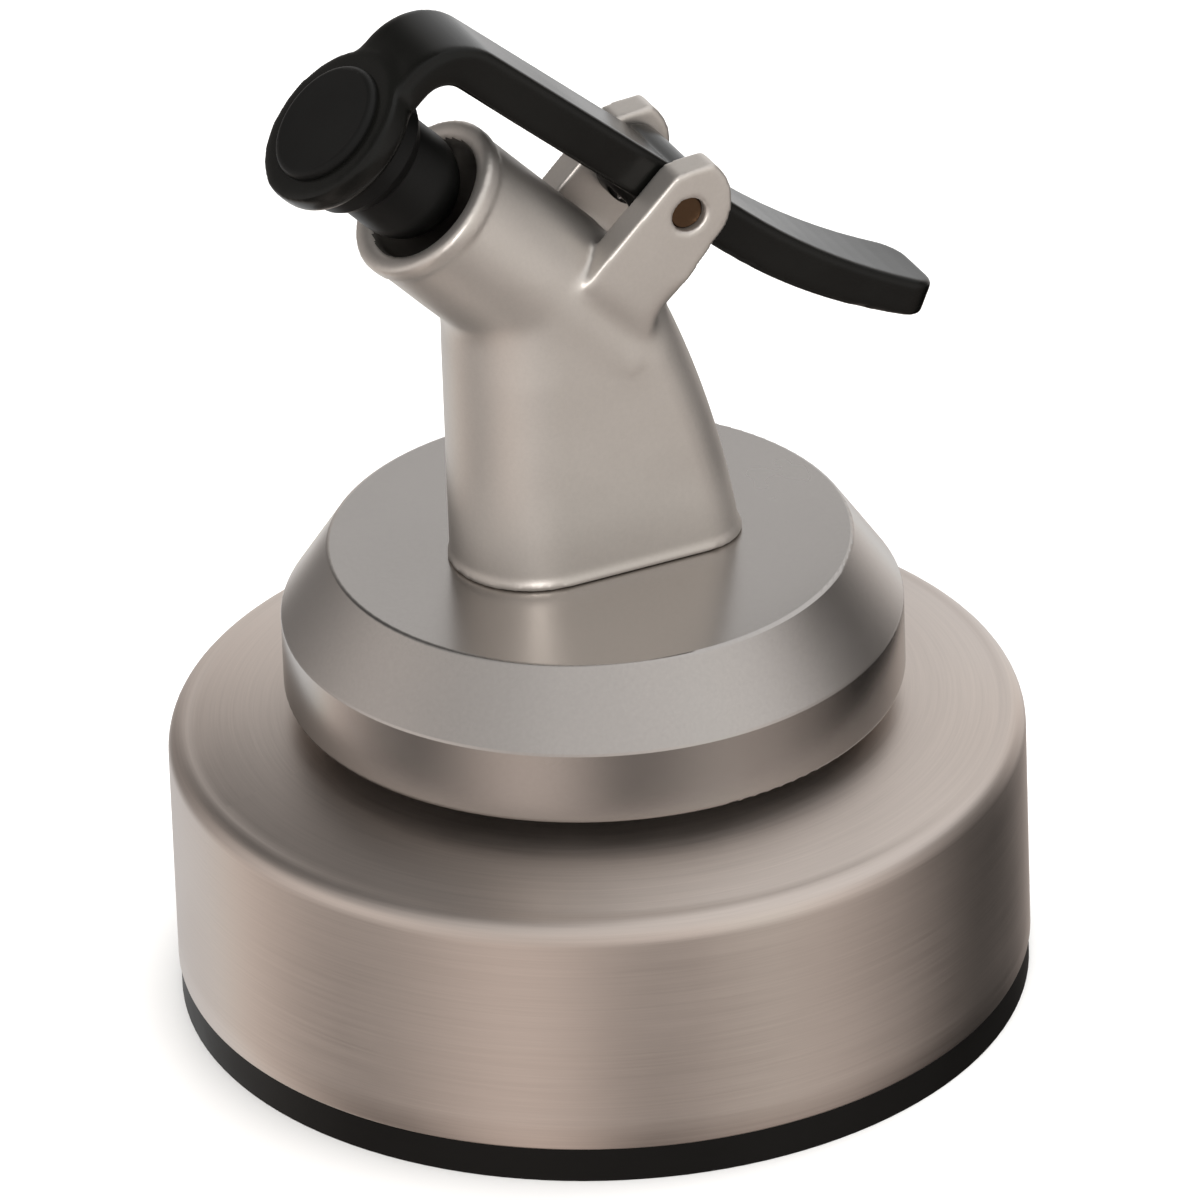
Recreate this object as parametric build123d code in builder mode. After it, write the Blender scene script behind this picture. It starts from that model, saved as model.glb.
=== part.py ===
"""Lever-operated pour-spout lid for a 38 mm screw-finish bottle.

Frame: origin at the centre of the cap's bottom rim, +Z up, the spout leans towards -X,
the thumb end of the lever reaches towards +X, and the hinge axis runs along Y.
All lengths are in millimetres and all angles in degrees.
"""
import os
from math import cos, radians, sin

from build123d import *

# ---- driving dimensions ---------------------------------------------------------------

# screw cap
CAP_R = 21.0              # outside radius of the steel shell
SHELL_T = 0.4             # drawn sheet thickness
RIM_R = 20.9              # plastic rim that shows under the shell
RIM_H = 1.77
SHOULDER_Z = 13.0         # where the vertical wall ends
SHOULDER_R = 19.85        # where the domed top starts
SHOULDER_TOP_Z = 14.2
DOME_MIDDLE = (17.0, 14.93)    # (radius, z) halfway up the domed top
SHELL_INNER_TOP_R = 19.7  # the shell's inside, where the wall ends and the dome starts
SHELL_INNER_WALL_Z = 12.9
LAND_R = 13.4             # flat land that the spout is clamped on
LAND_Z = 15.4
CAP_PLATE_Z = 12.8        # underside of the inner cap's top plate
SKIRT_R = 20.55           # outside of the inner cap's skirt
SKIRT_TOP_Z = 12.4        # where the skirt turns in under the shell's shoulder
INNER_SHOULDER = (19.4, 13.7)  # (radius, z) of the inner cap's shoulder
PILOT_R = 19.2            # plain lead-in bore at the mouth of the cap
PILOT_DEPTH = 3.6
THREAD_ROOT_R = 19.0      # bore between the thread ridges
THREAD_CREST_R = 17.95
THREAD_PITCH = 4.23       # 6 threads per inch
THREAD_TURNS = 1.25
THREAD_START_Z = 5.2
THREAD_ROOT_HALF_W = 1.0  # half height of a ridge at its root and at its crest
THREAD_CREST_HALF_W = 0.35
THREAD_SUNK = 0.2         # how far a ridge starts inside the wall

# spout foot: chamfered disc with a hollow threaded stem
DISC_R = 15.2
DISC_BOTTOM_Z = 16.55
DISC_EDGE_Z = 20.35
DISC_TOP_R = 12.81
DISC_TOP_Z = 23.97
DISC_EDGE_FILLET = 0.25
STEM_R = 8.9              # M18 x 1
STEM_BORE_R = 7.7
STEM_END_Z = 8.3
STEM_FLOOR_Z = 19.0
STEM_HOLE_R = 9.0         # clearance hole for the stem in the pieces it passes
STEM_CHAMFER = 0.5

# neck and spout
TUBE_R = 4.15             # outside of the spout
TUBE_TILT = 47.0          # spout axis above the horizontal
TUBE_L = 13.5             # length of the round spout, up to where it ends in the neck
MOUTH_X = -8.2
MOUTH_Z = 44.8
LIP_R = 4.27
LIP_H = 0.9
LIP_FILLET = 0.3
MOUTH_FILLET = 0.6
SPOUT_BORE_R = 3.15
SPOUT_BORE_DEPTH = 10.7
NECK_HALF_W = 4.1
NECK_FRONT_X = -7.1
NECK_BACK_X = 7.1
NECK_BACK_FILLET = 2.6
FOOT_FLARE = 0.12         # how far the foot stands proud of the neck
FOOT_H = 0.5
FOOT_WALL_H = 0.2         # upright part of the foot, below its chamfer
FOOT_FILLET = 0.1
POUR_X = -3.2             # upright pour bore
POUR_R = 3.0
POUR_TOP_Z = 38.48        # flat end of the upright bore, inside the spout's own bore
VENT_X = 1.7              # upright air bore
VENT_R = 1.1
VENT_TOP_Z = 34.4
VENT_DRILL_R = 0.9
VENT_DRILL_DEPTH = 14.8
SPIGOT_R = 3.6            # oblong spigot that fits through the disc
SPIGOT_BACK_X = 6.4
SPIGOT_CORNER = 1.5
SCREW_X = 4.5
SCREW_Y = 1.9
SCREW_R = 1.0             # M2
SCREW_TOP_Z = 25.2
TAP_RUNOUT = 0.6          # tapped hole beyond the screw's end

# hinge
PIN_X = 3.96
PIN_Z = 42.56
PIN_R = 0.6
PIN_HEAD_R = 0.88
PIN_HEAD_H = 0.7
PIN_END_RECESS = 0.3
PIN_RECESS = 0.4          # pin head below the ear's face
PIN_CHAMFER = 0.1
EAR_INNER_Y = 2.61
EAR_OUTER_Y = 4.25
EAR_TIP_R = 2.3
EAR_TIP_RISE = 0.4        # the ear's tip is a little above the pin

# lever
LEVER_W = 5.0
LEVER_SLOPE = 42.0
ARM_TOP = 1.4             # top face above the hinge axis, measured square to the arm
ARM_BOTTOM = -0.9
HUB_R = 1.9
HUB_BORE_R = 0.64
BEND_OUTER_R = 3.4
BEND_INNER_R = 1.2
EYE_R = 4.15              # round eye that carries the stopper
EYE_BOTTOM = 5.0          # height of the eye above the mouth, along the spout axis
EYE_TOP = 6.85
ARM_END_TOP = 6.7         # upper face of the arm where it runs into the eye
EYE_HOLE_R = 2.0
TAIL_BEND_A = -4.2        # where the tail starts to level out, along the arm from the hinge
TAIL_END_X = 18.12
TAIL_END_Z = 34.25
TAIL_T = 1.8
TAIL_CORNER_R = 1.4
EYE_TOP_FILLET = 0.75
EYE_LOW_FILLET = 1.0
LEVER_FILLET = 0.3        # along the lever's top edges
POCKET_HALF_W = 1.15      # spring pocket in the hub
POCKET_R = 1.06
GROOVE_Y = 0.8            # the groove lies on the -Y side of the middle
GROOVE_W = 0.7
GROOVE_L = 4.4
GROOVE_ROOF = -0.62

# stopper, measured along the spout axis from the mouth
PLUG_R = 2.8
DOME_CENTRE = 1.42        # centre of the plug's round end
PLUG_TIP = DOME_CENTRE - PLUG_R
FLANGE_R = 3.35
FLANGE_BOTTOM = 4.15
FLANGE_SIDE = (3.14, 3.8) # on the round underside of the flange
NECKING_BOTTOM = 3.35
BUTTON_R = 3.1
BUTTON_TOP = 7.25
BUTTON_FILLET = 0.35

# clamped stack under the cap and inside the stem
SEAL_T = 0.8
SEAL_R = 12.6
WASHER_T = 0.8
WASHER_R = 12.9
NUT_H = 2.4
NUT_ACROSS_FLATS = 24.0
NUT_CHAMFER = 0.4
GASKET_INSET = 0.4        # gasket edge inside the edge of the land
LINER_T = 1.0
LINER_INNER_R = 14.2
CLAMP_R = 7.3
NECK_SEAL_T = 0.6
CLAMP_T = 0.8
SCREW_HEAD_R = 1.85
SCREW_HEAD_H = 1.3
SCREW_HEAD_FILLET = 0.4
CROSS_L = 2.0             # cross recess in the screw heads
CROSS_W = 0.45
CROSS_DEPTH = 0.7
SPRING_WIRE_R = 0.15
SPRING_MEAN_R = 0.82
SPRING_TURNS = 3.875
SPRING_LEG_TAIL = 3.0
SPRING_LEG_BODY = 1.5
SPRING_PITCH = 0.36
VENT_TUBE_BOTTOM_Z = 7.3
VENT_TUBE_TOP_Z = 27.0
VENT_TUBE_WALL = 0.35

# clearances, and the size of solids that only cut others
FIT = 0.03                # round a piece that is pushed or screwed in
LOOSE = 0.1               # round a screw or tube that passes through
CUT = 10.0                # farther than any piece of the spout reaches from the side view
TINY = 0.01               # tolerance when edges are picked by their place

# ---- derived directions and heights ---------------------------------------------------

AXIS = Vector(-cos(radians(TUBE_TILT)), 0, sin(radians(TUBE_TILT)))     # out of the mouth
NORMAL = Vector(sin(radians(TUBE_TILT)), 0, cos(radians(TUBE_TILT)))    # up, square to it
MOUTH = Vector(MOUTH_X, 0, MOUTH_Z)
ARM = Vector(-cos(radians(LEVER_SLOPE)), 0, sin(radians(LEVER_SLOPE)))  # hinge to head
ARM_UP = Vector(sin(radians(LEVER_SLOPE)), 0, cos(radians(LEVER_SLOPE)))
PIN = Vector(PIN_X, 0, PIN_Z)

# outline of the hinge ears and of the neck's back, in the side view (x, z)
EAR_LOW_FRONT = (-1.77, 40.04)
EAR_TOP_FRONT = (3.42, 44.8)
EAR_TOP_BACK = (5.32, 45.0)
EAR_BACK = (5.3, 40.9)
EAR_LOW_BACK = (1.62, 36.53)
BACK_TOP = (0.93, 41.0)   # where the back of the neck meets the top of the spout
BACK_KNEE = (3.45, 37.35)
BACK_MIDDLE = (5.77, 30.6)     # on the curved back of the column
BACK_MIDDLE_TUBE = (5.7, 32.9) # on the curved back above it, up to BACK_TOP
NECK_SHOULDER = (1.6, 36.95)   # top of the neck's flat sides, just inside the ears

MOUTH_PLANE = Plane(origin=MOUTH, x_dir=NORMAL, z_dir=AXIS)
# side view of the spout axis: x is the distance from it, y the height above the mouth
STOPPER_PLANE = Plane(origin=MOUTH, x_dir=NORMAL, z_dir=AXIS.cross(NORMAL) * -1)
SPOUT_AXIS = Axis(MOUTH, AXIS)
SIDE = Plane.XZ                                                          # x right, z up

SEAL_BOTTOM_Z = CAP_PLATE_Z - SEAL_T
WASHER_BOTTOM_Z = SEAL_BOTTOM_Z - WASHER_T
NUT_BOTTOM_Z = WASHER_BOTTOM_Z - NUT_H
SCREW_PLACES = ((SCREW_X, -SCREW_Y), (SCREW_X, SCREW_Y))
NECK_SEAL_BOTTOM_Z = STEM_FLOOR_Z - NECK_SEAL_T
CLAMP_BOTTOM_Z = NECK_SEAL_BOTTOM_Z - CLAMP_T


def side_point(base, along, along_dir, up, up_dir):
    """(x, z) of a point measured along and square to a direction in the side view."""
    p = base + along_dir * along + up_dir * up
    return (p.X, p.Z)


def on_arm(along, up):
    return side_point(PIN, along, ARM, up, ARM_UP)


def on_spout(along, up):
    return side_point(MOUTH, along, AXIS, up, NORMAL)


def spout_plane(height):
    """Plane square to the spout axis, at a height above the mouth."""
    return Plane(origin=MOUTH + AXIS * height, x_dir=NORMAL, z_dir=AXIS)


def ring(inner_r, outer_r, bottom_z, height):
    """Private flat ring, used for washers and gaskets."""
    with BuildPart(mode=Mode.PRIVATE) as made:
        with BuildSketch(Plane.XY.offset(bottom_z)):
            Circle(outer_r)
            Circle(inner_r, mode=Mode.SUBTRACT)
        extrude(amount=height)
    return made.part


# ---- steel shell ----------------------------------------------------------------------

with BuildPart() as cap_shell:
    with BuildSketch(SIDE):
        with BuildLine():
            Line((CAP_R, RIM_H), (CAP_R, SHOULDER_Z))
            TangentArc((CAP_R, SHOULDER_Z), (SHOULDER_R, SHOULDER_TOP_Z), tangent=(0, 1))
            ThreePointArc((SHOULDER_R, SHOULDER_TOP_Z), DOME_MIDDLE, (LAND_R, LAND_Z))
            Line((LAND_R, LAND_Z), (STEM_HOLE_R, LAND_Z))
            Line((STEM_HOLE_R, LAND_Z), (STEM_HOLE_R, LAND_Z - SHELL_T))
            Line((STEM_HOLE_R, LAND_Z - SHELL_T), (LAND_R, LAND_Z - SHELL_T))
            ThreePointArc((LAND_R, LAND_Z - SHELL_T), (DOME_MIDDLE[0], DOME_MIDDLE[1] - SHELL_T),
                          (SHELL_INNER_TOP_R, SHOULDER_TOP_Z - SHELL_T))
            TangentArc((CAP_R - SHELL_T, SHELL_INNER_WALL_Z),
                       (SHELL_INNER_TOP_R, SHOULDER_TOP_Z - SHELL_T), tangent=(0, 1))
            Line((CAP_R - SHELL_T, SHELL_INNER_WALL_Z), (CAP_R - SHELL_T, RIM_H))
            Line((CAP_R - SHELL_T, RIM_H), (CAP_R, RIM_H))
        make_face()
    revolve(axis=Axis.Z)

# ---- threaded inner cap ---------------------------------------------------------------

with BuildPart() as inner_cap:
    with BuildSketch(SIDE):
        with BuildLine():
            Polyline(
                (STEM_HOLE_R, LAND_Z - SHELL_T), (LAND_R, LAND_Z - SHELL_T), INNER_SHOULDER,
                (SKIRT_R, SKIRT_TOP_Z), (SKIRT_R, RIM_H), (RIM_R, RIM_H), (RIM_R, 0),
                (PILOT_R, 0), (PILOT_R, PILOT_DEPTH), (THREAD_ROOT_R, PILOT_DEPTH),
                (THREAD_ROOT_R, CAP_PLATE_Z), (STEM_HOLE_R, CAP_PLATE_Z), close=True)
        make_face()
    revolve(axis=Axis.Z)
    with BuildLine() as thread_path:
        thread = Helix(pitch=THREAD_PITCH, height=THREAD_PITCH * THREAD_TURNS,
                       radius=THREAD_ROOT_R, center=(0, 0, THREAD_START_Z))
    ridge_plane = Plane(origin=thread @ 0, x_dir=(-1, 0, 0), z_dir=thread % 0)
    with BuildSketch(ridge_plane):
        with BuildLine():
            Polyline((-THREAD_SUNK, -THREAD_ROOT_HALF_W),
                     (THREAD_ROOT_R - THREAD_CREST_R, -THREAD_CREST_HALF_W),
                     (THREAD_ROOT_R - THREAD_CREST_R, THREAD_CREST_HALF_W),
                     (-THREAD_SUNK, THREAD_ROOT_HALF_W), close=True)
        make_face()
    sweep(path=thread, is_frenet=True)

# ---- soft seals and clamped stack -----------------------------------------------------

with BuildPart() as cap_liner:
    add(ring(LINER_INNER_R, THREAD_ROOT_R, CAP_PLATE_Z - LINER_T, LINER_T))

with BuildPart() as deck_gasket:
    add(ring(STEM_HOLE_R, LAND_R - GASKET_INSET, LAND_Z, DISC_BOTTOM_Z - LAND_Z))

with BuildPart() as stem_seal:
    add(ring(STEM_HOLE_R, SEAL_R, SEAL_BOTTOM_Z, SEAL_T))

with BuildPart() as stem_washer:
    add(ring(STEM_HOLE_R, WASHER_R, WASHER_BOTTOM_Z, WASHER_T))

with BuildPart() as stem_nut:
    with BuildSketch(Plane.XY.offset(NUT_BOTTOM_Z)):
        RegularPolygon(radius=NUT_ACROSS_FLATS / 2, side_count=6, major_radius=False)
        Circle(STEM_R + FIT, mode=Mode.SUBTRACT)
    extrude(amount=NUT_H)
    chamfer(stem_nut.faces().sort_by(Axis.Z)[0].outer_wire().edges(), NUT_CHAMFER)

# ---- spout foot -----------------------------------------------------------------------


def spigot_sketch(grow):
    """Oblong outline of the spigot, grown all round."""
    with BuildSketch(mode=Mode.PRIVATE) as outline:
        with Locations((POUR_X, 0)):
            Circle(SPIGOT_R + grow)
        with Locations(((POUR_X + SPIGOT_BACK_X + grow) / 2, 0)):
            Rectangle(SPIGOT_BACK_X + grow - POUR_X, 2 * (SPIGOT_R + grow))
        fillet(outline.vertices().group_by(Axis.X)[-1], SPIGOT_CORNER)
    return outline.sketch


with BuildPart() as base_disc:
    with BuildSketch(SIDE):
        with BuildLine():
            Polyline(
                (0, DISC_TOP_Z), (DISC_TOP_R, DISC_TOP_Z), (DISC_R, DISC_EDGE_Z),
                (DISC_R, DISC_BOTTOM_Z), (STEM_R, DISC_BOTTOM_Z), (STEM_R, STEM_END_Z),
                (STEM_BORE_R, STEM_END_Z), (STEM_BORE_R, STEM_FLOOR_Z), (0, STEM_FLOOR_Z),
                close=True)
        make_face()
    revolve(axis=Axis.Z)
    rim_edges = base_disc.edges().filter_by(GeomType.CIRCLE)
    outer_edges = rim_edges.filter_by(lambda e: e.radius > DISC_TOP_R - TINY)
    fillet(outer_edges, DISC_EDGE_FILLET)
    with BuildSketch(Plane.XY.offset(STEM_FLOOR_Z)):
        add(spigot_sketch(FIT))
    extrude(amount=DISC_TOP_Z - STEM_FLOOR_Z, mode=Mode.SUBTRACT)
    chamfer(base_disc.faces().sort_by(Axis.Z)[0].outer_wire().edges(), STEM_CHAMFER)

# ---- spout body -----------------------------------------------------------------------


def footprint(grow, back_x, corner_r):
    """Plan of the neck: round at the front, square with soft corners at the back."""
    front_x = NECK_FRONT_X + NECK_HALF_W
    half_w = NECK_HALF_W + grow
    with BuildSketch(mode=Mode.PRIVATE) as outline:
        with Locations((front_x, 0)):
            Circle(half_w)
        with Locations(((front_x + back_x) / 2, 0)):
            Rectangle(back_x - front_x, 2 * half_w)
        if corner_r:
            fillet(outline.vertices().group_by(Axis.X)[-1], corner_r)
    return outline.sketch


with BuildPart() as neck_column:
    with BuildSketch(Plane.XY.offset(DISC_TOP_Z)):
        add(footprint(0, NECK_BACK_X + CUT, 0))
    extrude(amount=MOUTH_Z - DISC_TOP_Z)
    # the side view: up to the spout's axis in front, and a curved back
    with BuildSketch(SIDE):
        with BuildLine():
            Polyline(on_spout(LIP_H, 0), (MOUTH_X, DISC_TOP_Z), (NECK_BACK_X, DISC_TOP_Z))
            ThreePointArc((NECK_BACK_X, DISC_TOP_Z), BACK_MIDDLE, BACK_KNEE)
            Polyline(BACK_KNEE, NECK_SHOULDER, on_spout(-TUBE_L + LOOSE, 0),
                     on_spout(LIP_H, 0))
        make_face()
    extrude(amount=CUT, both=True, mode=Mode.INTERSECT)
    long_back_edges = neck_column.edges().filter_by(GeomType.CIRCLE).filter_by(
        lambda e: abs(abs(e.center().Y) - NECK_HALF_W) < TINY and e.center().X > BACK_KNEE[0])
    fillet(long_back_edges, NECK_BACK_FILLET)

with BuildPart() as spout_tube:
    with BuildSketch(MOUTH_PLANE):
        Circle(TUBE_R)
    extrude(amount=-TUBE_L)
    with BuildSketch(SIDE):
        with BuildLine():
            ThreePointArc((NECK_BACK_X, DISC_TOP_Z), BACK_MIDDLE_TUBE, BACK_TOP)
            Polyline(BACK_TOP, on_spout(LIP_H, CUT), on_spout(LIP_H, -CUT),
                     (MOUTH_X - CUT, DISC_TOP_Z), (NECK_BACK_X, DISC_TOP_Z))
        make_face()
    extrude(amount=CUT, both=True, mode=Mode.INTERSECT)

# slightly proud foot with a chamfer on top and a round edge against the disc
with BuildPart() as neck_foot:
    with BuildSketch(Plane.XY.offset(DISC_TOP_Z)):
        add(footprint(FOOT_FLARE, NECK_BACK_X + FOOT_FLARE, NECK_BACK_FILLET + FOOT_FLARE))
    extrude(amount=FOOT_H)
    chamfer(neck_foot.edges().group_by(Axis.Z)[-1], FOOT_H - FOOT_WALL_H, FOOT_FLARE - TINY)
    fillet(neck_foot.edges().group_by(Axis.Z)[0], FOOT_FILLET)

with BuildPart() as spout_body:
    add(neck_column.part)
    add(spout_tube.part)
    # rolled lip
    with BuildSketch(MOUTH_PLANE):
        Circle(LIP_R)
    extrude(amount=-LIP_H)
    add(neck_foot.part)
    # spigot through the disc
    with BuildSketch(Plane.XY.offset(STEM_FLOOR_Z)):
        add(spigot_sketch(0))
    extrude(amount=DISC_TOP_Z - STEM_FLOOR_Z)
    # hinge ears
    for inner_y, outer_y in ((EAR_INNER_Y, EAR_OUTER_Y), (-EAR_OUTER_Y, -EAR_INNER_Y)):
        with BuildSketch(SIDE.offset(-outer_y)):
            with BuildLine():
                Polyline(EAR_LOW_FRONT, EAR_TOP_FRONT, EAR_TOP_BACK)
                ThreePointArc(EAR_TOP_BACK, (PIN_X + EAR_TIP_R, PIN_Z + EAR_TIP_RISE), EAR_BACK)
                Polyline(EAR_BACK, EAR_LOW_BACK, EAR_LOW_FRONT)
            make_face()
        extrude(amount=outer_y - inner_y)
    # pour passage: upright bore, bore of the spout, and the air bore that joins it
    with BuildSketch(Plane.XY.offset(STEM_FLOOR_Z)):
        with Locations((POUR_X, 0)):
            Circle(POUR_R)
    extrude(amount=POUR_TOP_Z - STEM_FLOOR_Z, mode=Mode.SUBTRACT)
    with BuildSketch(MOUTH_PLANE.offset(LIP_H)):
        Circle(SPOUT_BORE_R)
    extrude(amount=-SPOUT_BORE_DEPTH - LIP_H, mode=Mode.SUBTRACT)
    with BuildSketch(MOUTH_PLANE.offset(-SPOUT_BORE_DEPTH)):
        Circle(VENT_DRILL_R)
    extrude(amount=SPOUT_BORE_DEPTH - VENT_DRILL_DEPTH, mode=Mode.SUBTRACT)
    with BuildSketch(Plane.XY.offset(STEM_FLOOR_Z)):
        with Locations((VENT_X, 0)):
            Circle(VENT_R)
    extrude(amount=VENT_TOP_Z - STEM_FLOOR_Z, mode=Mode.SUBTRACT)
    # tapped holes for the two neck screws
    with BuildSketch(Plane.XY.offset(STEM_FLOOR_Z)):
        with Locations(*SCREW_PLACES):
            Circle(SCREW_R)
    extrude(amount=SCREW_TOP_Z + TAP_RUNOUT - STEM_FLOOR_Z, mode=Mode.SUBTRACT)
    # hinge pin hole, counterbored in the near ear for the pin's head
    with BuildSketch(SIDE.offset(-EAR_OUTER_Y)):
        with Locations((PIN_X, PIN_Z)):
            Circle(PIN_R)
    extrude(amount=2 * EAR_OUTER_Y, mode=Mode.SUBTRACT)
    with BuildSketch(SIDE.offset(EAR_OUTER_Y)):
        with Locations((PIN_X, PIN_Z)):
            Circle(PIN_HEAD_R)
    extrude(amount=-PIN_HEAD_H - PIN_RECESS, mode=Mode.SUBTRACT)
    # soft edges on the lip
    mouth_edges = spout_body.edges().filter_by(GeomType.CIRCLE).filter_by(
        lambda e: (e.arc_center - MOUTH).length < TINY)
    fillet(mouth_edges.filter_by(lambda e: e.radius < TUBE_R), MOUTH_FILLET)
    fillet(mouth_edges.filter_by(lambda e: e.radius > TUBE_R), LIP_FILLET)

# ---- hinge pin ------------------------------------------------------------------------

with BuildPart() as pivot_pin:
    with BuildSketch(SIDE.offset(EAR_OUTER_Y - PIN_RECESS)):
        with Locations((PIN_X, PIN_Z)):
            Circle(PIN_HEAD_R)
    extrude(amount=-PIN_HEAD_H)
    with BuildSketch(SIDE.offset(EAR_OUTER_Y - PIN_RECESS - PIN_HEAD_H)):
        with Locations((PIN_X, PIN_Z)):
            Circle(PIN_R)
    extrude(amount=-(2 * EAR_OUTER_Y - PIN_RECESS - PIN_HEAD_H - PIN_END_RECESS))
    chamfer(pivot_pin.edges().group_by(Axis.Y)[0], PIN_CHAMFER)
    chamfer(pivot_pin.edges().group_by(Axis.Y)[-1], PIN_CHAMFER)

# ---- lever ----------------------------------------------------------------------------


def on_lever_side(edge):
    """True for an edge that lies in one of the lever's flat sides."""
    return abs(abs(edge.center().Y) - LEVER_W / 2) < TINY


def on_top(edge):
    """True for a long edge on the upper side, above the pin or along the tail."""
    middle = edge.center() - PIN
    if edge.length < TAIL_T + TINY:
        return False
    return middle.dot(ARM_UP) > ARM_TOP / 2 or middle.dot(ARM) < TAIL_BEND_A


def arm_meets_eye(up, height):
    """Distance along the arm where its face at `up` reaches a height above the mouth."""
    offset = PIN - MOUTH
    return (height - offset.dot(AXIS) - up * ARM_UP.dot(AXIS)) / ARM.dot(AXIS)


with BuildPart() as lever:
    top_corner = on_arm(arm_meets_eye(ARM_TOP, ARM_END_TOP), ARM_TOP)
    bottom_corner = on_arm(arm_meets_eye(ARM_BOTTOM, EYE_BOTTOM), ARM_BOTTOM)
    tail_top = on_arm(TAIL_BEND_A, ARM_TOP)
    tail_bottom = on_arm(TAIL_BEND_A, ARM_BOTTOM)
    tail_dir = Vector(-ARM.X, 0, -ARM.Z)
    with BuildSketch(SIDE) as profile:
        with BuildLine():
            Polyline(tail_top, top_corner, on_spout(ARM_END_TOP, 0), on_spout(EYE_BOTTOM, 0),
                     bottom_corner, tail_bottom)
            top_tail = TangentArc(tail_top, (TAIL_END_X, TAIL_END_Z),
                                  tangent=(tail_dir.X, tail_dir.Z))
            end_dir = top_tail % 1
            tail_low = (TAIL_END_X + TAIL_T * end_dir.Y, TAIL_END_Z - TAIL_T * end_dir.X)
            Line((TAIL_END_X, TAIL_END_Z), tail_low)
            TangentArc(tail_bottom, tail_low, tangent=(tail_dir.X, tail_dir.Z))
        make_face()
        for corner, radius in ((top_corner, BEND_OUTER_R), (bottom_corner, BEND_INNER_R)):
            here = Vector(*corner)
            near = profile.vertices().sort_by(lambda v: (Vector(v.X, v.Y) - here).length)[0]
            fillet(near, radius)
    extrude(amount=LEVER_W / 2, both=True)
    # rounded end of the thumb tail: its two short edges on the lever's sides
    short_edges = lever.edges().filter_by(on_lever_side).sort_by(Axis.X)[-2:]
    fillet(short_edges, TAIL_CORNER_R)
    # soft top edges, on both sides
    fillet(lever.edges().filter_by(on_lever_side).filter_by(on_top), LEVER_FILLET)
    # round eye for the stopper
    with BuildSketch(STOPPER_PLANE) as eye_profile:
        with BuildLine():
            Polyline((0, EYE_BOTTOM), (EYE_R, EYE_BOTTOM), (EYE_R, EYE_TOP), (0, EYE_TOP),
                     close=True)
        make_face()
        low_corner, top_corner = eye_profile.vertices().group_by(Axis.X)[-1].sort_by(Axis.Y)
        fillet(low_corner, EYE_LOW_FILLET)
        fillet(top_corner, EYE_TOP_FILLET)
    revolve(axis=SPOUT_AXIS)
    # hub round the hinge pin
    with BuildSketch(SIDE):
        with Locations((PIN_X, PIN_Z)):
            Circle(HUB_R)
    extrude(amount=LEVER_W / 2, both=True)
    # holes: stopper, hinge pin, spring pocket open below
    with BuildSketch(spout_plane(EYE_BOTTOM)):
        Circle(EYE_HOLE_R)
    extrude(amount=EYE_TOP - EYE_BOTTOM, mode=Mode.SUBTRACT)
    with BuildSketch(SIDE):
        with Locations((PIN_X, PIN_Z)):
            Circle(HUB_BORE_R)
    extrude(amount=LEVER_W / 2, both=True, mode=Mode.SUBTRACT)
    with BuildSketch(SIDE):
        with Locations((PIN_X, PIN_Z)):
            Circle(POCKET_R)
        with BuildLine():
            Polyline(on_arm(-POCKET_R, 0), on_arm(POCKET_R, 0), on_arm(POCKET_R, -CUT),
                     on_arm(-POCKET_R, -CUT), close=True)
        make_face()
    extrude(amount=POCKET_HALF_W, both=True, mode=Mode.SUBTRACT)
    # groove under the tail for the spring's leg
    with BuildSketch(SIDE.offset(GROOVE_Y - GROOVE_W / 2)):
        with BuildLine():
            Polyline(on_arm(0, GROOVE_ROOF), on_arm(-GROOVE_L, GROOVE_ROOF),
                     on_arm(-GROOVE_L, -HUB_R), on_arm(0, -HUB_R), close=True)
        make_face()
    extrude(amount=GROOVE_W, mode=Mode.SUBTRACT)

# ---- rubber stopper -------------------------------------------------------------------

with BuildPart() as stopper:
    with BuildSketch(STOPPER_PLANE) as stopper_profile:
        with BuildLine():
            Polyline((0, PLUG_TIP), (0, BUTTON_TOP), (BUTTON_R, BUTTON_TOP),
                     (BUTTON_R, EYE_TOP), (EYE_HOLE_R, EYE_TOP), (EYE_HOLE_R, EYE_BOTTOM),
                     (FLANGE_R, EYE_BOTTOM), (FLANGE_R, FLANGE_BOTTOM))
            ThreePointArc((FLANGE_R, FLANGE_BOTTOM), FLANGE_SIDE, (PLUG_R, NECKING_BOTTOM))
            Line((PLUG_R, NECKING_BOTTOM), (PLUG_R, DOME_CENTRE))
            TangentArc((PLUG_R, DOME_CENTRE), (0, PLUG_TIP), tangent=(0, -1))
        make_face()
        top_rim = stopper_profile.vertices().group_by(Axis.Y)[-1].sort_by(Axis.X)[-1]
        fillet(top_rim, BUTTON_FILLET)
    revolve(axis=SPOUT_AXIS)

# ---- pieces inside the hollow stem ----------------------------------------------------


def stem_disc(bottom_z, height):
    """Private round plate with the pour opening, the air tube hole and two screw holes."""
    with BuildPart(mode=Mode.PRIVATE) as made:
        with BuildSketch(Plane.XY.offset(bottom_z)):
            Circle(CLAMP_R)
            with Locations((POUR_X, 0)):
                Circle(POUR_R, mode=Mode.SUBTRACT)
            with Locations((VENT_X, 0)):
                Circle(VENT_R + FIT, mode=Mode.SUBTRACT)
            with Locations(*SCREW_PLACES):
                Circle(SCREW_R + LOOSE, mode=Mode.SUBTRACT)
        extrude(amount=height)
    return made.part


with BuildPart() as neck_seal:
    add(stem_disc(NECK_SEAL_BOTTOM_Z, NECK_SEAL_T))

with BuildPart() as clamp_plate:
    add(stem_disc(CLAMP_BOTTOM_Z, CLAMP_T))

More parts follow.
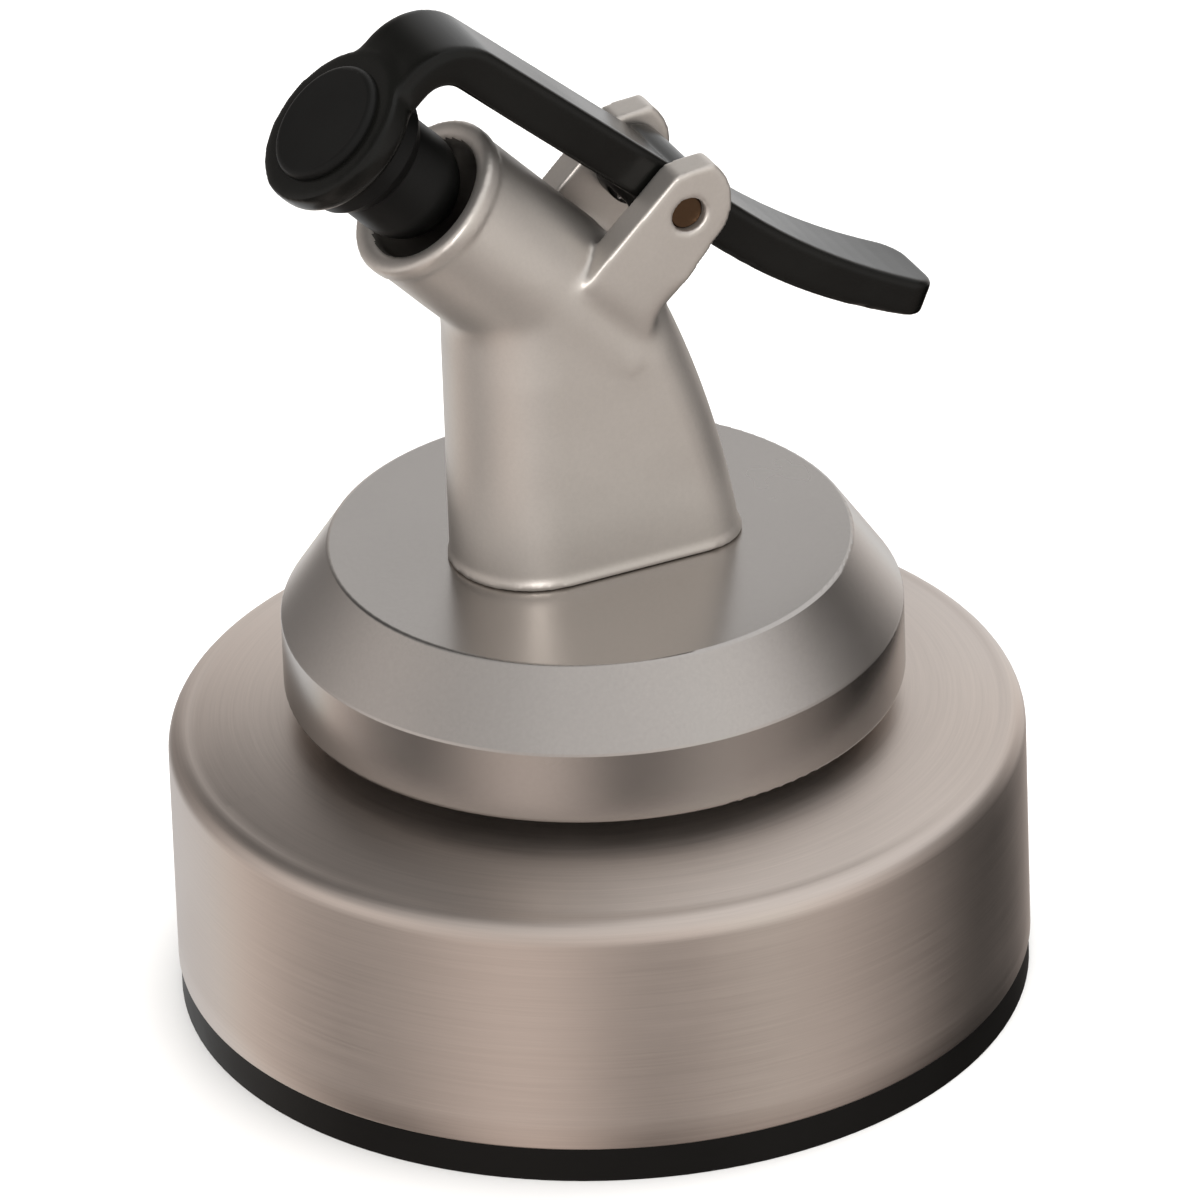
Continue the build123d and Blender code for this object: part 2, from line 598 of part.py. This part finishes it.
with BuildPart() as neck_screws:
    with BuildSketch(Plane.XY.offset(CLAMP_BOTTOM_Z - SCREW_HEAD_H)):
        with Locations(*SCREW_PLACES):
            Circle(SCREW_HEAD_R)
    extrude(amount=SCREW_HEAD_H)
    fillet(neck_screws.edges().group_by(Axis.Z)[0], SCREW_HEAD_FILLET)
    with BuildSketch(Plane.XY.offset(CLAMP_BOTTOM_Z)):
        with Locations(*SCREW_PLACES):
            Circle(SCREW_R)
    extrude(amount=SCREW_TOP_Z - CLAMP_BOTTOM_Z)
    # cross recess in each head
    with BuildSketch(Plane.XY.offset(CLAMP_BOTTOM_Z - SCREW_HEAD_H)):
        with Locations(*SCREW_PLACES):
            Rectangle(CROSS_L, CROSS_W)
            Rectangle(CROSS_W, CROSS_L)
    extrude(amount=CROSS_DEPTH, mode=Mode.SUBTRACT)

with BuildPart() as vent_tube:
    with BuildSketch(Plane.XY.offset(VENT_TUBE_BOTTOM_Z)):
        with Locations((VENT_X, 0)):
            Circle(VENT_R)
            Circle(VENT_R - VENT_TUBE_WALL, mode=Mode.SUBTRACT)
    extrude(amount=VENT_TUBE_TOP_Z - VENT_TUBE_BOTTOM_Z)

# ---- lever return spring --------------------------------------------------------------

with BuildPart() as coil_and_legs:
    coil_h = SPRING_TURNS * SPRING_PITCH
    with BuildLine():
        coil = Helix(pitch=SPRING_PITCH, height=coil_h, radius=SPRING_MEAN_R,
                     center=(PIN_X, -coil_h / 2, PIN_Z), direction=(0, 1, 0))
    with BuildSketch(Plane(origin=coil @ 0, z_dir=coil % 0)):
        Circle(SPRING_WIRE_R)
    sweep(path=coil, is_frenet=True)
    # a long leg under the lever's tail, and a short one down between the ears
    with BuildSketch(Plane(origin=coil @ 0, z_dir=-(coil % 0))):
        Circle(SPRING_WIRE_R)
    extrude(amount=SPRING_LEG_TAIL)
    with BuildSketch(Plane(origin=coil @ 1, z_dir=coil % 1)):
        Circle(SPRING_WIRE_R)
    extrude(amount=SPRING_LEG_BODY)

# turned about the pin, so that the coil starts at its lowest point as seen along the arm
turned_spring = coil_and_legs.part.rotate(Axis(PIN, (0, 1, 0)), 180 + LEVER_SLOPE)

with BuildPart() as return_spring:
    add(turned_spring)

# ---- files ----------------------------------------------------------------------------

PIECES = {
    "cap_shell": cap_shell,
    "inner_cap": inner_cap,
    "cap_liner": cap_liner,
    "deck_gasket": deck_gasket,
    "base_disc": base_disc,
    "stem_seal": stem_seal,
    "stem_washer": stem_washer,
    "stem_nut": stem_nut,
    "spout_body": spout_body,
    "neck_seal": neck_seal,
    "clamp_plate": clamp_plate,
    "neck_screws": neck_screws,
    "vent_tube": vent_tube,
    "pivot_pin": pivot_pin,
    "return_spring": return_spring,
    "lever": lever,
    "stopper": stopper,
}

os.makedirs("parts", exist_ok=True)
for node, piece in PIECES.items():
    piece.part.label = node
    export_step(piece.part, f"parts/{node}.step")
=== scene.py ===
"""Lever pour-spout lid: materials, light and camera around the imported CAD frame.

Lengths are in metres. The frame's origin is the centre of the cap's bottom rim, +Z is up,
the spout leans towards -X and the lever's thumb end points to +X.
"""
from math import cos, pi, radians, sin

import bpy
from mathutils import Matrix, Vector


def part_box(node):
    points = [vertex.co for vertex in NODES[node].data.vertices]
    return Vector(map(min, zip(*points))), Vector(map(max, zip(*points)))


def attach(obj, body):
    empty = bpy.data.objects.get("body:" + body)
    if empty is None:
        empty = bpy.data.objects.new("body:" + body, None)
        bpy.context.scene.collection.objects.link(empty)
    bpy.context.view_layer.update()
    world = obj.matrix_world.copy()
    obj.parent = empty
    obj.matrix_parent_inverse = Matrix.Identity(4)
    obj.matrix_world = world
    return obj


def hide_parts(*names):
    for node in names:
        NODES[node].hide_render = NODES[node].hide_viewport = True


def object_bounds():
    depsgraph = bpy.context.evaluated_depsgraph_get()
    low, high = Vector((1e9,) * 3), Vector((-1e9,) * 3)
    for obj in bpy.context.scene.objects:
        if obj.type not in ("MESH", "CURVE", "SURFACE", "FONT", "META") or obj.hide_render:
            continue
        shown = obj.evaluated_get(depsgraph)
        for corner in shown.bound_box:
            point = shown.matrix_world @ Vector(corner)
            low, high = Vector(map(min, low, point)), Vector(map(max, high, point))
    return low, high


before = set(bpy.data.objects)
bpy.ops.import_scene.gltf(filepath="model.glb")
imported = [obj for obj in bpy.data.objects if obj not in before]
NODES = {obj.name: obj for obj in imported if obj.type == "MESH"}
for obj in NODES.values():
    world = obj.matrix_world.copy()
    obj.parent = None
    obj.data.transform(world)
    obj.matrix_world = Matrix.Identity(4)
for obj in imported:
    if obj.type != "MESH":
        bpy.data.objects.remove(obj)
cad_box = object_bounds()

# ---- view ---------------------------------------------------------------------------------

VIEW_AZIMUTH = radians(-24.31)
VIEW_ELEVATION = radians(30.44)
VIEW_ROLL = radians(-2.11)
CAMERA_DISTANCE = 0.801
SENSOR = 36.0                      # mm
FRAME_WIDTH = 0.05923              # what the picture spans at the origin's distance
AIM_RIGHT = -0.00027               # picture centre, measured from the origin in the view
AIM_UP = 0.01782

# ---- finishes -----------------------------------------------------------------------------

STEEL_COLOR = (0.62, 0.55, 0.505)
SILVER_COLOR = (0.47, 0.445, 0.425)
# painted light: the spout's silver lacquer, the same finish as the disc's, set lighter than
# SILVER_COLOR to stand in for light on the neck and tube
SPOUT_PAINTED_LIGHT_COLOR = (0.57, 0.535, 0.50)
# painted shade: near black, for the shadow inside the spout's bore
BORE_SHADE_COLOR = (0.05, 0.045, 0.04)
PLAIN_STEEL_COLOR = (0.52, 0.52, 0.53)
BRONZE_COLOR = (0.10, 0.06, 0.035)
BLACK_COLOR = (0.0035, 0.0035, 0.003)
RUBBER_COLOR = (0.004, 0.004, 0.0038)
RIM_COLOR = (0.002, 0.0018, 0.0015)
LINER_COLOR = (0.75, 0.74, 0.70)
SILICONE_COLOR = (0.55, 0.55, 0.52)
FLOOR_COLOR = (0.86, 0.86, 0.855)

NOISE_LOW, NOISE_HIGH = 0.3, 0.7   # where nearly all values of a noise lie
BRUSH_SCALE = 7000                 # noise scales, per metre
SMUDGE_SCALE = 90.0
STAIN_SCALE = 110.0
RUBBED_SCALE = 160.0
BRUSH_DEPTH = 0.00003              # bump heights, m
GRAIN_DEPTH = 0.00002
MOULD_DEPTH = 0.00003


class Shader:
    """Nodes of a material or a world, and the links between them."""

    def __init__(self, owner):
        owner.use_nodes = True
        self.tree = owner.node_tree

    def node(self, kind, **settings):
        made = self.tree.nodes.new(kind)
        for key, value in settings.items():
            setattr(made, key, value)
        return made

    def link(self, source, target):
        self.tree.links.new(source, target)

    def math(self, operation, first, second=0.0):
        made = self.node("ShaderNodeMath", operation=operation)
        for socket, value in zip(made.inputs, (first, second)):
            if isinstance(value, (int, float)):
                socket.default_value = value
            else:
                self.link(value, socket)
        return made.outputs[0]


class Finish(Shader):
    """A material under construction: one Principled shader and the nodes that feed it."""

    def __init__(self, name):
        self.material = bpy.data.materials.new(name)
        super().__init__(self.material)
        self.shader = self.tree.nodes["Principled BSDF"]

    def constants(self, **values):
        """Sets the shader's sockets, whose names are written with _ for a space."""
        for socket, value in values.items():
            self.shader.inputs[socket.replace("_", " ")].default_value = value

    def blended(self, first, second, share):
        """The first value times the share, plus the second times the rest."""
        return self.math("ADD", self.math("MULTIPLY", first, share),
                         self.math("MULTIPLY", second, 1 - share))

    def position(self):
        return self.node("ShaderNodeTexCoord").outputs["Object"]

    def noise(self, vector, scale, detail=3.0, roughness=0.55):
        made = self.node("ShaderNodeTexNoise")
        made.inputs["Scale"].default_value = scale
        made.inputs["Detail"].default_value = detail
        made.inputs["Roughness"].default_value = roughness
        self.link(vector, made.inputs["Vector"])
        return made.outputs["Fac"]

    def remap(self, value, low, high):
        """From low to high as a noise value runs over its usual range."""
        made = self.node("ShaderNodeMapRange")
        made.inputs["From Min"].default_value = NOISE_LOW
        made.inputs["From Max"].default_value = NOISE_HIGH
        made.inputs["To Min"].default_value = low
        made.inputs["To Max"].default_value = high
        self.link(value, made.inputs["Value"])
        return made.outputs["Result"]

    def tinted(self, factor, color, dark, light):
        """Base colour that runs from color x dark to color x light with the factor."""
        ramp = self.node("ShaderNodeValToRGB")
        for element, gain in zip(ramp.color_ramp.elements, (dark, light)):
            element.color = (*(channel * gain for channel in color), 1.0)
        ramp.color_ramp.elements[0].position = NOISE_LOW
        ramp.color_ramp.elements[1].position = NOISE_HIGH
        self.link(factor, ramp.inputs["Fac"])
        self.link(ramp.outputs["Color"], self.shader.inputs["Base Color"])

    def uneven_gloss(self, value, low, high):
        self.link(self.remap(value, low, high), self.shader.inputs["Roughness"])

    def bump(self, height, strength, distance):
        made = self.node("ShaderNodeBump")
        made.inputs["Strength"].default_value = strength
        made.inputs["Distance"].default_value = distance
        self.link(height, made.inputs["Height"])
        self.link(made.outputs["Normal"], self.shader.inputs["Normal"])


def lathe_lines(finish, across, along):
    """Coordinates that run fast across the radius and height and slowly round the axis."""
    parts = finish.node("ShaderNodeSeparateXYZ")
    finish.link(finish.position(), parts.inputs[0])
    angle = finish.math("ARCTAN2", parts.outputs["Y"], parts.outputs["X"])
    x_squared = finish.math("MULTIPLY", parts.outputs["X"], parts.outputs["X"])
    y_squared = finish.math("MULTIPLY", parts.outputs["Y"], parts.outputs["Y"])
    radius = finish.math("SQRT", finish.math("ADD", x_squared, y_squared))
    joined = finish.node("ShaderNodeCombineXYZ")
    finish.link(finish.math("MULTIPLY", angle, along), joined.inputs["X"])
    finish.link(finish.math("MULTIPLY", radius, across), joined.inputs["Y"])
    finish.link(finish.math("MULTIPLY", parts.outputs["Z"], across), joined.inputs["Z"])
    return joined.outputs[0]


def brushed_steel(name, color):
    """Stainless steel, brushed round the cap's axis."""
    finish = Finish(name)
    finish.constants(Metallic=1.0, Anisotropic=0.7, Anisotropic_Rotation=0.25)
    tangent = finish.node("ShaderNodeTangent", direction_type="RADIAL", axis="Z")
    finish.link(tangent.outputs[0], finish.shader.inputs["Tangent"])
    fine = finish.noise(lathe_lines(finish, BRUSH_SCALE, 2.0), 1.0, detail=5.0, roughness=0.7)
    smudge = finish.noise(finish.position(), SMUDGE_SCALE, detail=4.0)
    finish.tinted(finish.blended(fine, smudge, 0.7), color, 0.9, 1.08)
    finish.uneven_gloss(finish.blended(fine, smudge, 0.5), 0.31, 0.41)
    finish.bump(fine, 0.12, BRUSH_DEPTH)
    return finish.material


def metal(name, color, roughness, grain_scale, metallic=1.0, grain=0.08):
    """Cast, lacquered or drawn metal: fine grain, slow stains, slightly uneven gloss."""
    finish = Finish(name)
    finish.constants(Metallic=metallic)
    flake = finish.noise(finish.position(), grain_scale, detail=4.0, roughness=0.7)
    stain = finish.noise(finish.position(), STAIN_SCALE)
    finish.tinted(finish.blended(flake, stain, 0.5), color, 0.94, 1.05)
    finish.uneven_gloss(stain, roughness * 0.9, roughness * 1.15)
    finish.bump(flake, grain, GRAIN_DEPTH)
    return finish.material


def soft_black(name, color, roughness, grain_scale, grain, specular=0.5):
    """Moulded plastic or rubber: dull grain with rubbed, slightly greyer patches."""
    finish = Finish(name)
    finish.constants(Specular_IOR_Level=specular)
    fine = finish.noise(finish.position(), grain_scale, detail=5.0, roughness=0.65)
    rubbed = finish.noise(finish.position(), RUBBED_SCALE)
    finish.tinted(rubbed, color, 0.75, 1.35)
    finish.uneven_gloss(rubbed, roughness * 0.88, roughness * 1.15)
    finish.bump(fine, grain, MOULD_DEPTH)
    return finish.material


FINISHES = {
    "cap_shell": brushed_steel("shell steel", STEEL_COLOR),
    "inner_cap": soft_black("cap plastic", RIM_COLOR, 0.5, 2500.0, 0.15, specular=0.2),
    "cap_liner": soft_black("liner foam", LINER_COLOR, 0.8, 3000.0, 0.3),
    "deck_gasket": soft_black("gasket rubber", RIM_COLOR, 0.7, 2500.0, 0.2),
    "base_disc": metal("disc lacquer", SILVER_COLOR, 0.24, 5000.0),
    "stem_seal": soft_black("stem silicone", SILICONE_COLOR, 0.5, 1500.0, 0.1),
    "stem_washer": metal("washer steel", PLAIN_STEEL_COLOR, 0.3, 3000.0),
    "stem_nut": metal("nut steel", PLAIN_STEEL_COLOR, 0.28, 3000.0),
    # painted light: the spout takes a lighter copy of the disc's lacquer colour
    "spout_body": metal("spout lacquer painted lighter", SPOUT_PAINTED_LIGHT_COLOR, 0.42, 5000.0, metallic=0.9),
    "neck_seal": soft_black("neck silicone", SILICONE_COLOR, 0.5, 1500.0, 0.1),
    "clamp_plate": metal("plate steel", PLAIN_STEEL_COLOR, 0.3, 3000.0),
    "neck_screws": metal("screw steel", PLAIN_STEEL_COLOR, 0.25, 3000.0),
    "vent_tube": metal("tube steel", PLAIN_STEEL_COLOR, 0.22, 3000.0),
    "pivot_pin": metal("pin bronze", BRONZE_COLOR, 0.35, 3500.0, grain=0.4),
    "return_spring": metal("spring wire", PLAIN_STEEL_COLOR, 0.25, 4000.0),
    "lever": soft_black("lever plastic", BLACK_COLOR, 0.24, 2200.0, 0.05, specular=0.2),
    "stopper": soft_black("stopper rubber", RUBBER_COLOR, 0.40, 1800.0, 0.12, specular=0.14),
}

for node_name, material in FINISHES.items():
    part = NODES[node_name]
    part.data.materials.clear()
    part.data.materials.append(material)

# ---- smoother meshes for three of the pieces ----------------------------------------------

MM = 0.001
LATHE_SIDES = 360
SHELL_T = 0.4 * MM
SHELL_SHOULDER = (19.85 * MM, 14.2 * MM)      # (radius, z) where the wall's round edge ends
SHELL_WALL_Z = 13.0 * MM
SHELL_DOME = (17.0 * MM, 14.93 * MM)          # halfway up the domed top
SHELL_LAND_R = 13.4 * MM
SHELL_HOLE_R = 9.0 * MM
SHOULDER_LEAD = 0.1 * MM                      # the curve's corner, below the shoulder
HEM_R = 0.12 * MM                             # round lower edge of the shell
HEM_CUT = 0.3                                 # how near the edge's middle point is, of HEM_R
DOME_STEPS, SHOULDER_STEPS, WALL_STEPS = 24, 14, 8


def arc_through(start, middle, end, count):
    """Points on the circle through three points in a plane, from start to end."""
    start, middle, end = (Vector(point) for point in (start, middle, end))
    first, second = middle - start, end - start
    twice_area = 2 * (first.x * second.y - first.y * second.x)
    centre = start + Vector((second.y * first.length_squared - first.y * second.length_squared,
                             first.x * second.length_squared - second.x * first.length_squared)
                            ) / twice_area
    turn = (start - centre).angle_signed(end - centre)
    spoke = start - centre
    return [tuple(centre + Matrix.Rotation(-turn * step / count, 2) @ spoke)
            for step in range(count + 1)]


def corner_arc(start, corner, end, count):
    """Points on a curve from start to end that leaves towards the corner and arrives from it."""
    start, corner, end = (Vector(point) for point in (start, corner, end))
    made = []
    for step in range(count + 1):
        share = step / count
        made.append(tuple(start * (1 - share) ** 2 + corner * 2 * share * (1 - share)
                          + end * share ** 2))
    return made


def smooth_object(name, mesh, node):
    """Object with smooth faces that stands for a CAD node and takes its finish."""
    mesh.polygons.foreach_set("use_smooth", [True] * len(mesh.polygons))
    mesh.materials.clear()
    mesh.materials.append(FINISHES[node])
    made = bpy.data.objects.new(name, mesh)
    bpy.context.scene.collection.objects.link(made)
    return made


def shell_profile():
    """Section of the drawn shell: (radius, z) from the hem up to the hole, and back inside."""
    (_, _, low), (radius, _, top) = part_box("cap_shell")
    dome = arc_through(SHELL_SHOULDER, SHELL_DOME, (SHELL_LAND_R, top), DOME_STEPS)
    corner = (radius, SHELL_SHOULDER[1] - SHOULDER_LEAD)
    shoulder = corner_arc((radius, SHELL_WALL_Z), corner, SHELL_SHOULDER, SHOULDER_STEPS)
    wall = [(radius, low + HEM_R + (SHELL_WALL_Z - low - HEM_R) * step / WALL_STEPS)
            for step in range(WALL_STEPS)]
    hem = [(radius - SHELL_T, low), (radius - HEM_R, low),
           (radius - HEM_CUT * HEM_R, low + HEM_CUT * HEM_R)]
    outside = hem + wall + shoulder + dome[1:] + [(SHELL_HOLE_R, top)]
    inside = [(SHELL_HOLE_R, top - SHELL_T), (SHELL_LAND_R, top - SHELL_T),
              (SHELL_SHOULDER[0] - SHELL_T / 2, SHELL_SHOULDER[1] - SHELL_T),
              (radius - SHELL_T, SHELL_WALL_Z)]
    return outside + inside


def lathe(name, profile, node):
    """Closed solid of revolution about Z."""
    rows = len(profile)
    points = []
    for side in range(LATHE_SIDES):
        angle = 2 * pi * side / LATHE_SIDES
        points += [(r * cos(angle), r * sin(angle), z) for r, z in profile]
    faces = []
    for side in range(LATHE_SIDES):
        here, there = side * rows, (side + 1) % LATHE_SIDES * rows
        for row in range(rows):
            after = (row + 1) % rows
            faces.append((here + row, there + row, there + after, here + after))
    mesh = bpy.data.meshes.new(name)
    mesh.from_pydata(points, [], faces)
    return smooth_object(name, mesh, node)


def soften(made, name, steps, group_name=""):
    """Adds smoothing, of the whole mesh or as a vertex group weighs it."""
    smooth = made.modifiers.new(name, "SMOOTH")
    smooth.factor = 0.5
    smooth.iterations = steps
    smooth.vertex_group = group_name


def remeshed(name, node, voxel, weight, steps):
    """Copy of a CAD node with an even mesh, a little softer at all edges.

    Where weight(point) is above zero it is smoothed in as many more steps.
    """
    made = smooth_object(name, NODES[node].data.copy(), node)
    remesh = made.modifiers.new("even mesh", "REMESH")
    remesh.mode = "VOXEL"
    remesh.voxel_size = voxel
    remesh.use_smooth_shade = True
    settle(made)
    group = made.vertex_groups.new(name="softened")
    for vertex in made.data.vertices:
        share = weight(vertex.co)
        if share > LEAST_SHARE:
            group.add([vertex.index], share, "REPLACE")
    soften(made, "all edges", EDGE_STEPS)
    soften(made, "softened", steps, group.name)
    settle(made)
    return made


def settle(made):
    """Applies the object's modifiers to its mesh."""
    seen = made.evaluated_get(bpy.context.evaluated_depsgraph_get())
    mesh = bpy.data.meshes.new_from_object(seen)
    made.modifiers.clear()
    made.data = mesh


def fade(distance, inner, outer):
    """One up to the inner distance, then down to zero at the outer one."""
    share = min(1.0, max(0.0, (outer - distance) / (outer - inner)))
    return share * share * (3 - 2 * share)


LEVER_VOXEL = 0.12 * MM
SPOUT_VOXEL = 0.15 * MM
EDGE_STEPS, EYE_STEPS, JOIN_STEPS = 3, 40, 100
LEAST_SHARE = 0.01

MOUTH = Vector((-8.2, 0, 44.8)) * MM
SPOUT_TILT = radians(47)
SPOUT_AXIS = Vector((-cos(SPOUT_TILT), 0, sin(SPOUT_TILT)))
EYE_MIDDLE = MOUTH + SPOUT_AXIS * 6.0 * MM
EYE_R, EYE_FADE_R = 4.9 * MM, 8.0 * MM
# painted shade: a near-black patch inside the spout's bore, from below its lip down to
# BORE_DEPTH
BORE_SHADE_R = 3.4 * MM                        # the spout's dark inside, below its lip
BORE_SHADE_TOP = -0.25 * MM
BORE_DEPTH = -10.8 * MM
JOIN_START = Vector((-5.5, 0, 38.0)) * MM      # where the tube runs into the neck
JOIN_END = Vector((1.0, 0, 37.6)) * MM
JOIN_R, JOIN_FADE_R = 1.4 * MM, 3.2 * MM


def near_eye(point):
    """How near a point is to the lever's round eye."""
    return fade((point - EYE_MIDDLE).length, EYE_R, EYE_FADE_R)


def near_join(point):
    """How near a point is, in the side view, to the line where the tube meets the neck."""
    flat = Vector((point.x, 0, point.z))
    run = JOIN_END - JOIN_START
    share = min(1.0, max(0.0, (flat - JOIN_START).dot(run) / run.length_squared))
    return fade((flat - JOIN_START - run * share).length, JOIN_R, JOIN_FADE_R)


smooth_shell = lathe("shell_body", shell_profile(), "cap_shell")
smooth_lever = remeshed("lever_moulding", "lever", LEVER_VOXEL, near_eye, EYE_STEPS)
smooth_spout = remeshed("spout_casting", "spout_body", SPOUT_VOXEL, near_join, JOIN_STEPS)
# painted shade: faces inside the bore, below the lip, get a near-black finish that stands for
# the shadow there
smooth_spout.data.materials.append(soft_black("painted bore shade", BORE_SHADE_COLOR, 0.5, 2500.0, 0.2))
for face in smooth_spout.data.polygons:
    from_mouth = face.center - MOUTH
    height = from_mouth.dot(SPOUT_AXIS)
    radius = (from_mouth - SPOUT_AXIS * height).length
    if BORE_DEPTH < height < BORE_SHADE_TOP and radius < BORE_SHADE_R:
        face.material_index = 1
for made, node_name, body in ((smooth_shell, "cap_shell", "lid"),
                              (smooth_lever, "lever", "lever_arm"),
                              (smooth_spout, "spout_body", "lid")):
    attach(made, body)
    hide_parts(node_name)

# ---- floor, light and camera --------------------------------------------------------------

FLOOR_SIZE = 6.0
FLOOR_DROP = 0.00002               # keeps the floor off the rim
LIGHT_DISTANCE = 1.6
LIGHT_AIM = Vector((0, 0, 0.025))  # about the object's middle
NEAREST, FURTHEST = 0.01, 50.0     # what the camera sees


def floor():
    """Pale floor, wide enough to fill the view, that leaves no reflection on the metal."""
    half = FLOOR_SIZE / 2
    mesh = bpy.data.meshes.new("floor")
    corners = [(-half, -half, 0), (half, -half, 0), (half, half, 0), (-half, half, 0)]
    mesh.from_pydata(corners, [], [(0, 1, 2, 3)])
    made = bpy.data.objects.new("floor", mesh)
    made.location.z = cad_box[0][2] - FLOOR_DROP
    finish = Finish("floor paint")
    finish.constants(Roughness=0.9, Specular_IOR_Level=0.1)
    finish.tinted(finish.noise(finish.position(), 3.0), FLOOR_COLOR, 0.995, 1.0)
    mesh.materials.append(finish.material)
    made.visible_glossy = False
    bpy.context.scene.collection.objects.link(made)


def direction(azimuth, elevation):
    """Unit vector towards a light, from azimuth and elevation in the view's terms."""
    return Vector((sin(azimuth) * cos(elevation), -cos(azimuth) * cos(elevation),
                   sin(elevation)))


def softbox(name, azimuth_deg, elevation_deg, width, height, power, only_on=None):
    """White area light that faces the object; azimuth is measured from the camera's.

    A light for one piece alone is also mirrored in it.
    """
    toward = direction(VIEW_AZIMUTH + radians(azimuth_deg), radians(elevation_deg))
    lamp = bpy.data.lights.new(name, "AREA")
    lamp.shape = "RECTANGLE"
    lamp.size = width
    lamp.size_y = height
    lamp.energy = power
    lamp.color = WHITE
    made = bpy.data.objects.new(name, lamp)
    made.location = toward * LIGHT_DISTANCE + LIGHT_AIM
    made.rotation_euler = toward.to_track_quat("Z", "Y").to_euler()
    made.visible_glossy = only_on is not None
    if only_on is not None:
        receivers = bpy.data.collections.new(name)
        receivers.objects.link(only_on)
        made.light_linking.receiver_collection = receivers
    bpy.context.scene.collection.objects.link(made)


# Broad panels and gaps round the object: degrees from the camera's side, positive to the
# right, and the brightness there below, at and above the object's own height.
PANELS = [
    (-180, 0.9, 1.3, 0.6),         # white wall behind
    (-150, 1.7, 0.3, 0.1),
    (-80, 0.15, 0.9, 0.4),         # gap on the left
    (-25, 0.8, 0.8, 0.8),          # panel left of the camera
    (10, 0.2, 0.9, 0.9),           # gap beside the camera
    (55, 0.45, 1.0, 1.0),          # panel right of the camera
    (115, 0.0, 0.15, 1.1),         # dark side
    (150, 0.0, 0.9, 1.0),
    (180, 0.9, 1.3, 0.6),
]
LOW_TINT = (1.0, 0.86, 0.78)
MIDDLE_TINT = (1.0, 0.94, 0.90)
HIGH_TINT = (1.0, 0.985, 0.97)
MIDDLE_RISE = (-0.46, -0.28)       # heights, as sines, where a band gives way to the next
HIGH_RISE = (0.26, 0.62)
BACKDROP = (0.95, 0.95, 0.945, 1.0)
WHITE = (1.0, 0.99, 0.98)


class Studio(Shader):
    """World shader: three bands of soft light, one above the other."""

    def __init__(self):
        self.world = bpy.data.worlds.new("studio")
        super().__init__(self.world)
        self.turn, self.height = self.heading()

    def heading(self):
        """Turn round the object from 0 to 1, with the camera's side at 0.5, and the height."""
        parts = self.node("ShaderNodeSeparateXYZ")
        self.link(self.node("ShaderNodeTexCoord").outputs["Generated"], parts.inputs[0])
        back = self.math("MULTIPLY", parts.outputs["Y"], -1.0)
        azimuth = self.math("ARCTAN2", parts.outputs["X"], back)
        turned = self.math("DIVIDE", self.math("SUBTRACT", azimuth, VIEW_AZIMUTH), 2 * pi)
        return self.math("FRACT", self.math("ADD", turned, 0.5)), parts.outputs["Z"]

    def band(self, level, tint):
        """One band of the panels, from their first, second or third brightness."""
        ramp = self.node("ShaderNodeValToRGB")
        ramp.color_ramp.interpolation = "CARDINAL"
        points = ramp.color_ramp.elements
        for degrees, *_ in PANELS[1:-1]:
            points.new(0.5 + degrees / 360)
        for point, (_, *brightness) in zip(points, PANELS):
            point.color = (*(channel * brightness[level] for channel in tint), 1.0)
        self.link(self.turn, ramp.inputs["Fac"])
        return ramp.outputs["Color"]

    def rise(self, below, above, low, high):
        """Changes from one band to the next between two heights."""
        share = self.node("ShaderNodeMapRange", interpolation_type="SMOOTHSTEP")
        share.inputs["From Min"].default_value = low
        share.inputs["From Max"].default_value = high
        self.link(self.height, share.inputs["Value"])
        mix = self.node("ShaderNodeMix", data_type="RGBA")
        self.link(share.outputs["Result"], mix.inputs["Factor"])
        self.link(below, mix.inputs["A"])
        self.link(above, mix.inputs["B"])
        return mix.outputs["Result"]

    def finish(self):
        """Lights the object with the bands, and shows the camera a plain backdrop."""
        low = self.band(0, LOW_TINT)
        middle = self.band(1, MIDDLE_TINT)
        high = self.band(2, HIGH_TINT)
        sky = self.rise(self.rise(low, middle, *MIDDLE_RISE), high, *HIGH_RISE)
        camera_ray = self.node("ShaderNodeLightPath").outputs["Is Camera Ray"]
        seen = self.node("ShaderNodeMix", data_type="RGBA")
        self.link(camera_ray, seen.inputs["Factor"])
        self.link(sky, seen.inputs["A"])
        seen.inputs["B"].default_value = BACKDROP
        self.link(seen.outputs["Result"], self.tree.nodes["Background"].inputs["Color"])
        bpy.context.scene.world = self.world


def camera():
    """Long lens at the view's angle, with its slight roll."""
    back = direction(VIEW_AZIMUTH, VIEW_ELEVATION)
    right = Vector((cos(VIEW_AZIMUTH), sin(VIEW_AZIMUTH), 0))
    up = back.cross(right)
    rolled_right = right * cos(VIEW_ROLL) + up * sin(VIEW_ROLL)
    rolled_up = up * cos(VIEW_ROLL) - right * sin(VIEW_ROLL)
    place = back * CAMERA_DISTANCE
    aim = rolled_right * AIM_RIGHT + rolled_up * AIM_UP
    z_axis = (place - aim).normalized()
    x_axis = rolled_up.cross(z_axis).normalized()
    y_axis = z_axis.cross(x_axis)
    lens = bpy.data.cameras.new("camera")
    lens.sensor_width = SENSOR
    lens.lens = SENSOR * CAMERA_DISTANCE / FRAME_WIDTH
    lens.clip_start = NEAREST
    lens.clip_end = FURTHEST
    made = bpy.data.objects.new("camera", lens)
    made.matrix_world = Matrix.Translation(place) @ Matrix(
        (x_axis, y_axis, z_axis)).transposed().to_4x4()
    bpy.context.scene.collection.objects.link(made)
    bpy.context.scene.camera = made


floor()
Studio().finish()
softbox("front box", -20, 40, width=1.0, height=0.8, power=14.0)
softbox("overhead", 150, 75, width=1.6, height=1.6, power=30.0)
softbox("strip", 4, 10, width=0.16, height=0.8, power=9.0, only_on=smooth_spout)
bpy.context.scene.view_settings.view_transform = "Standard"
camera()
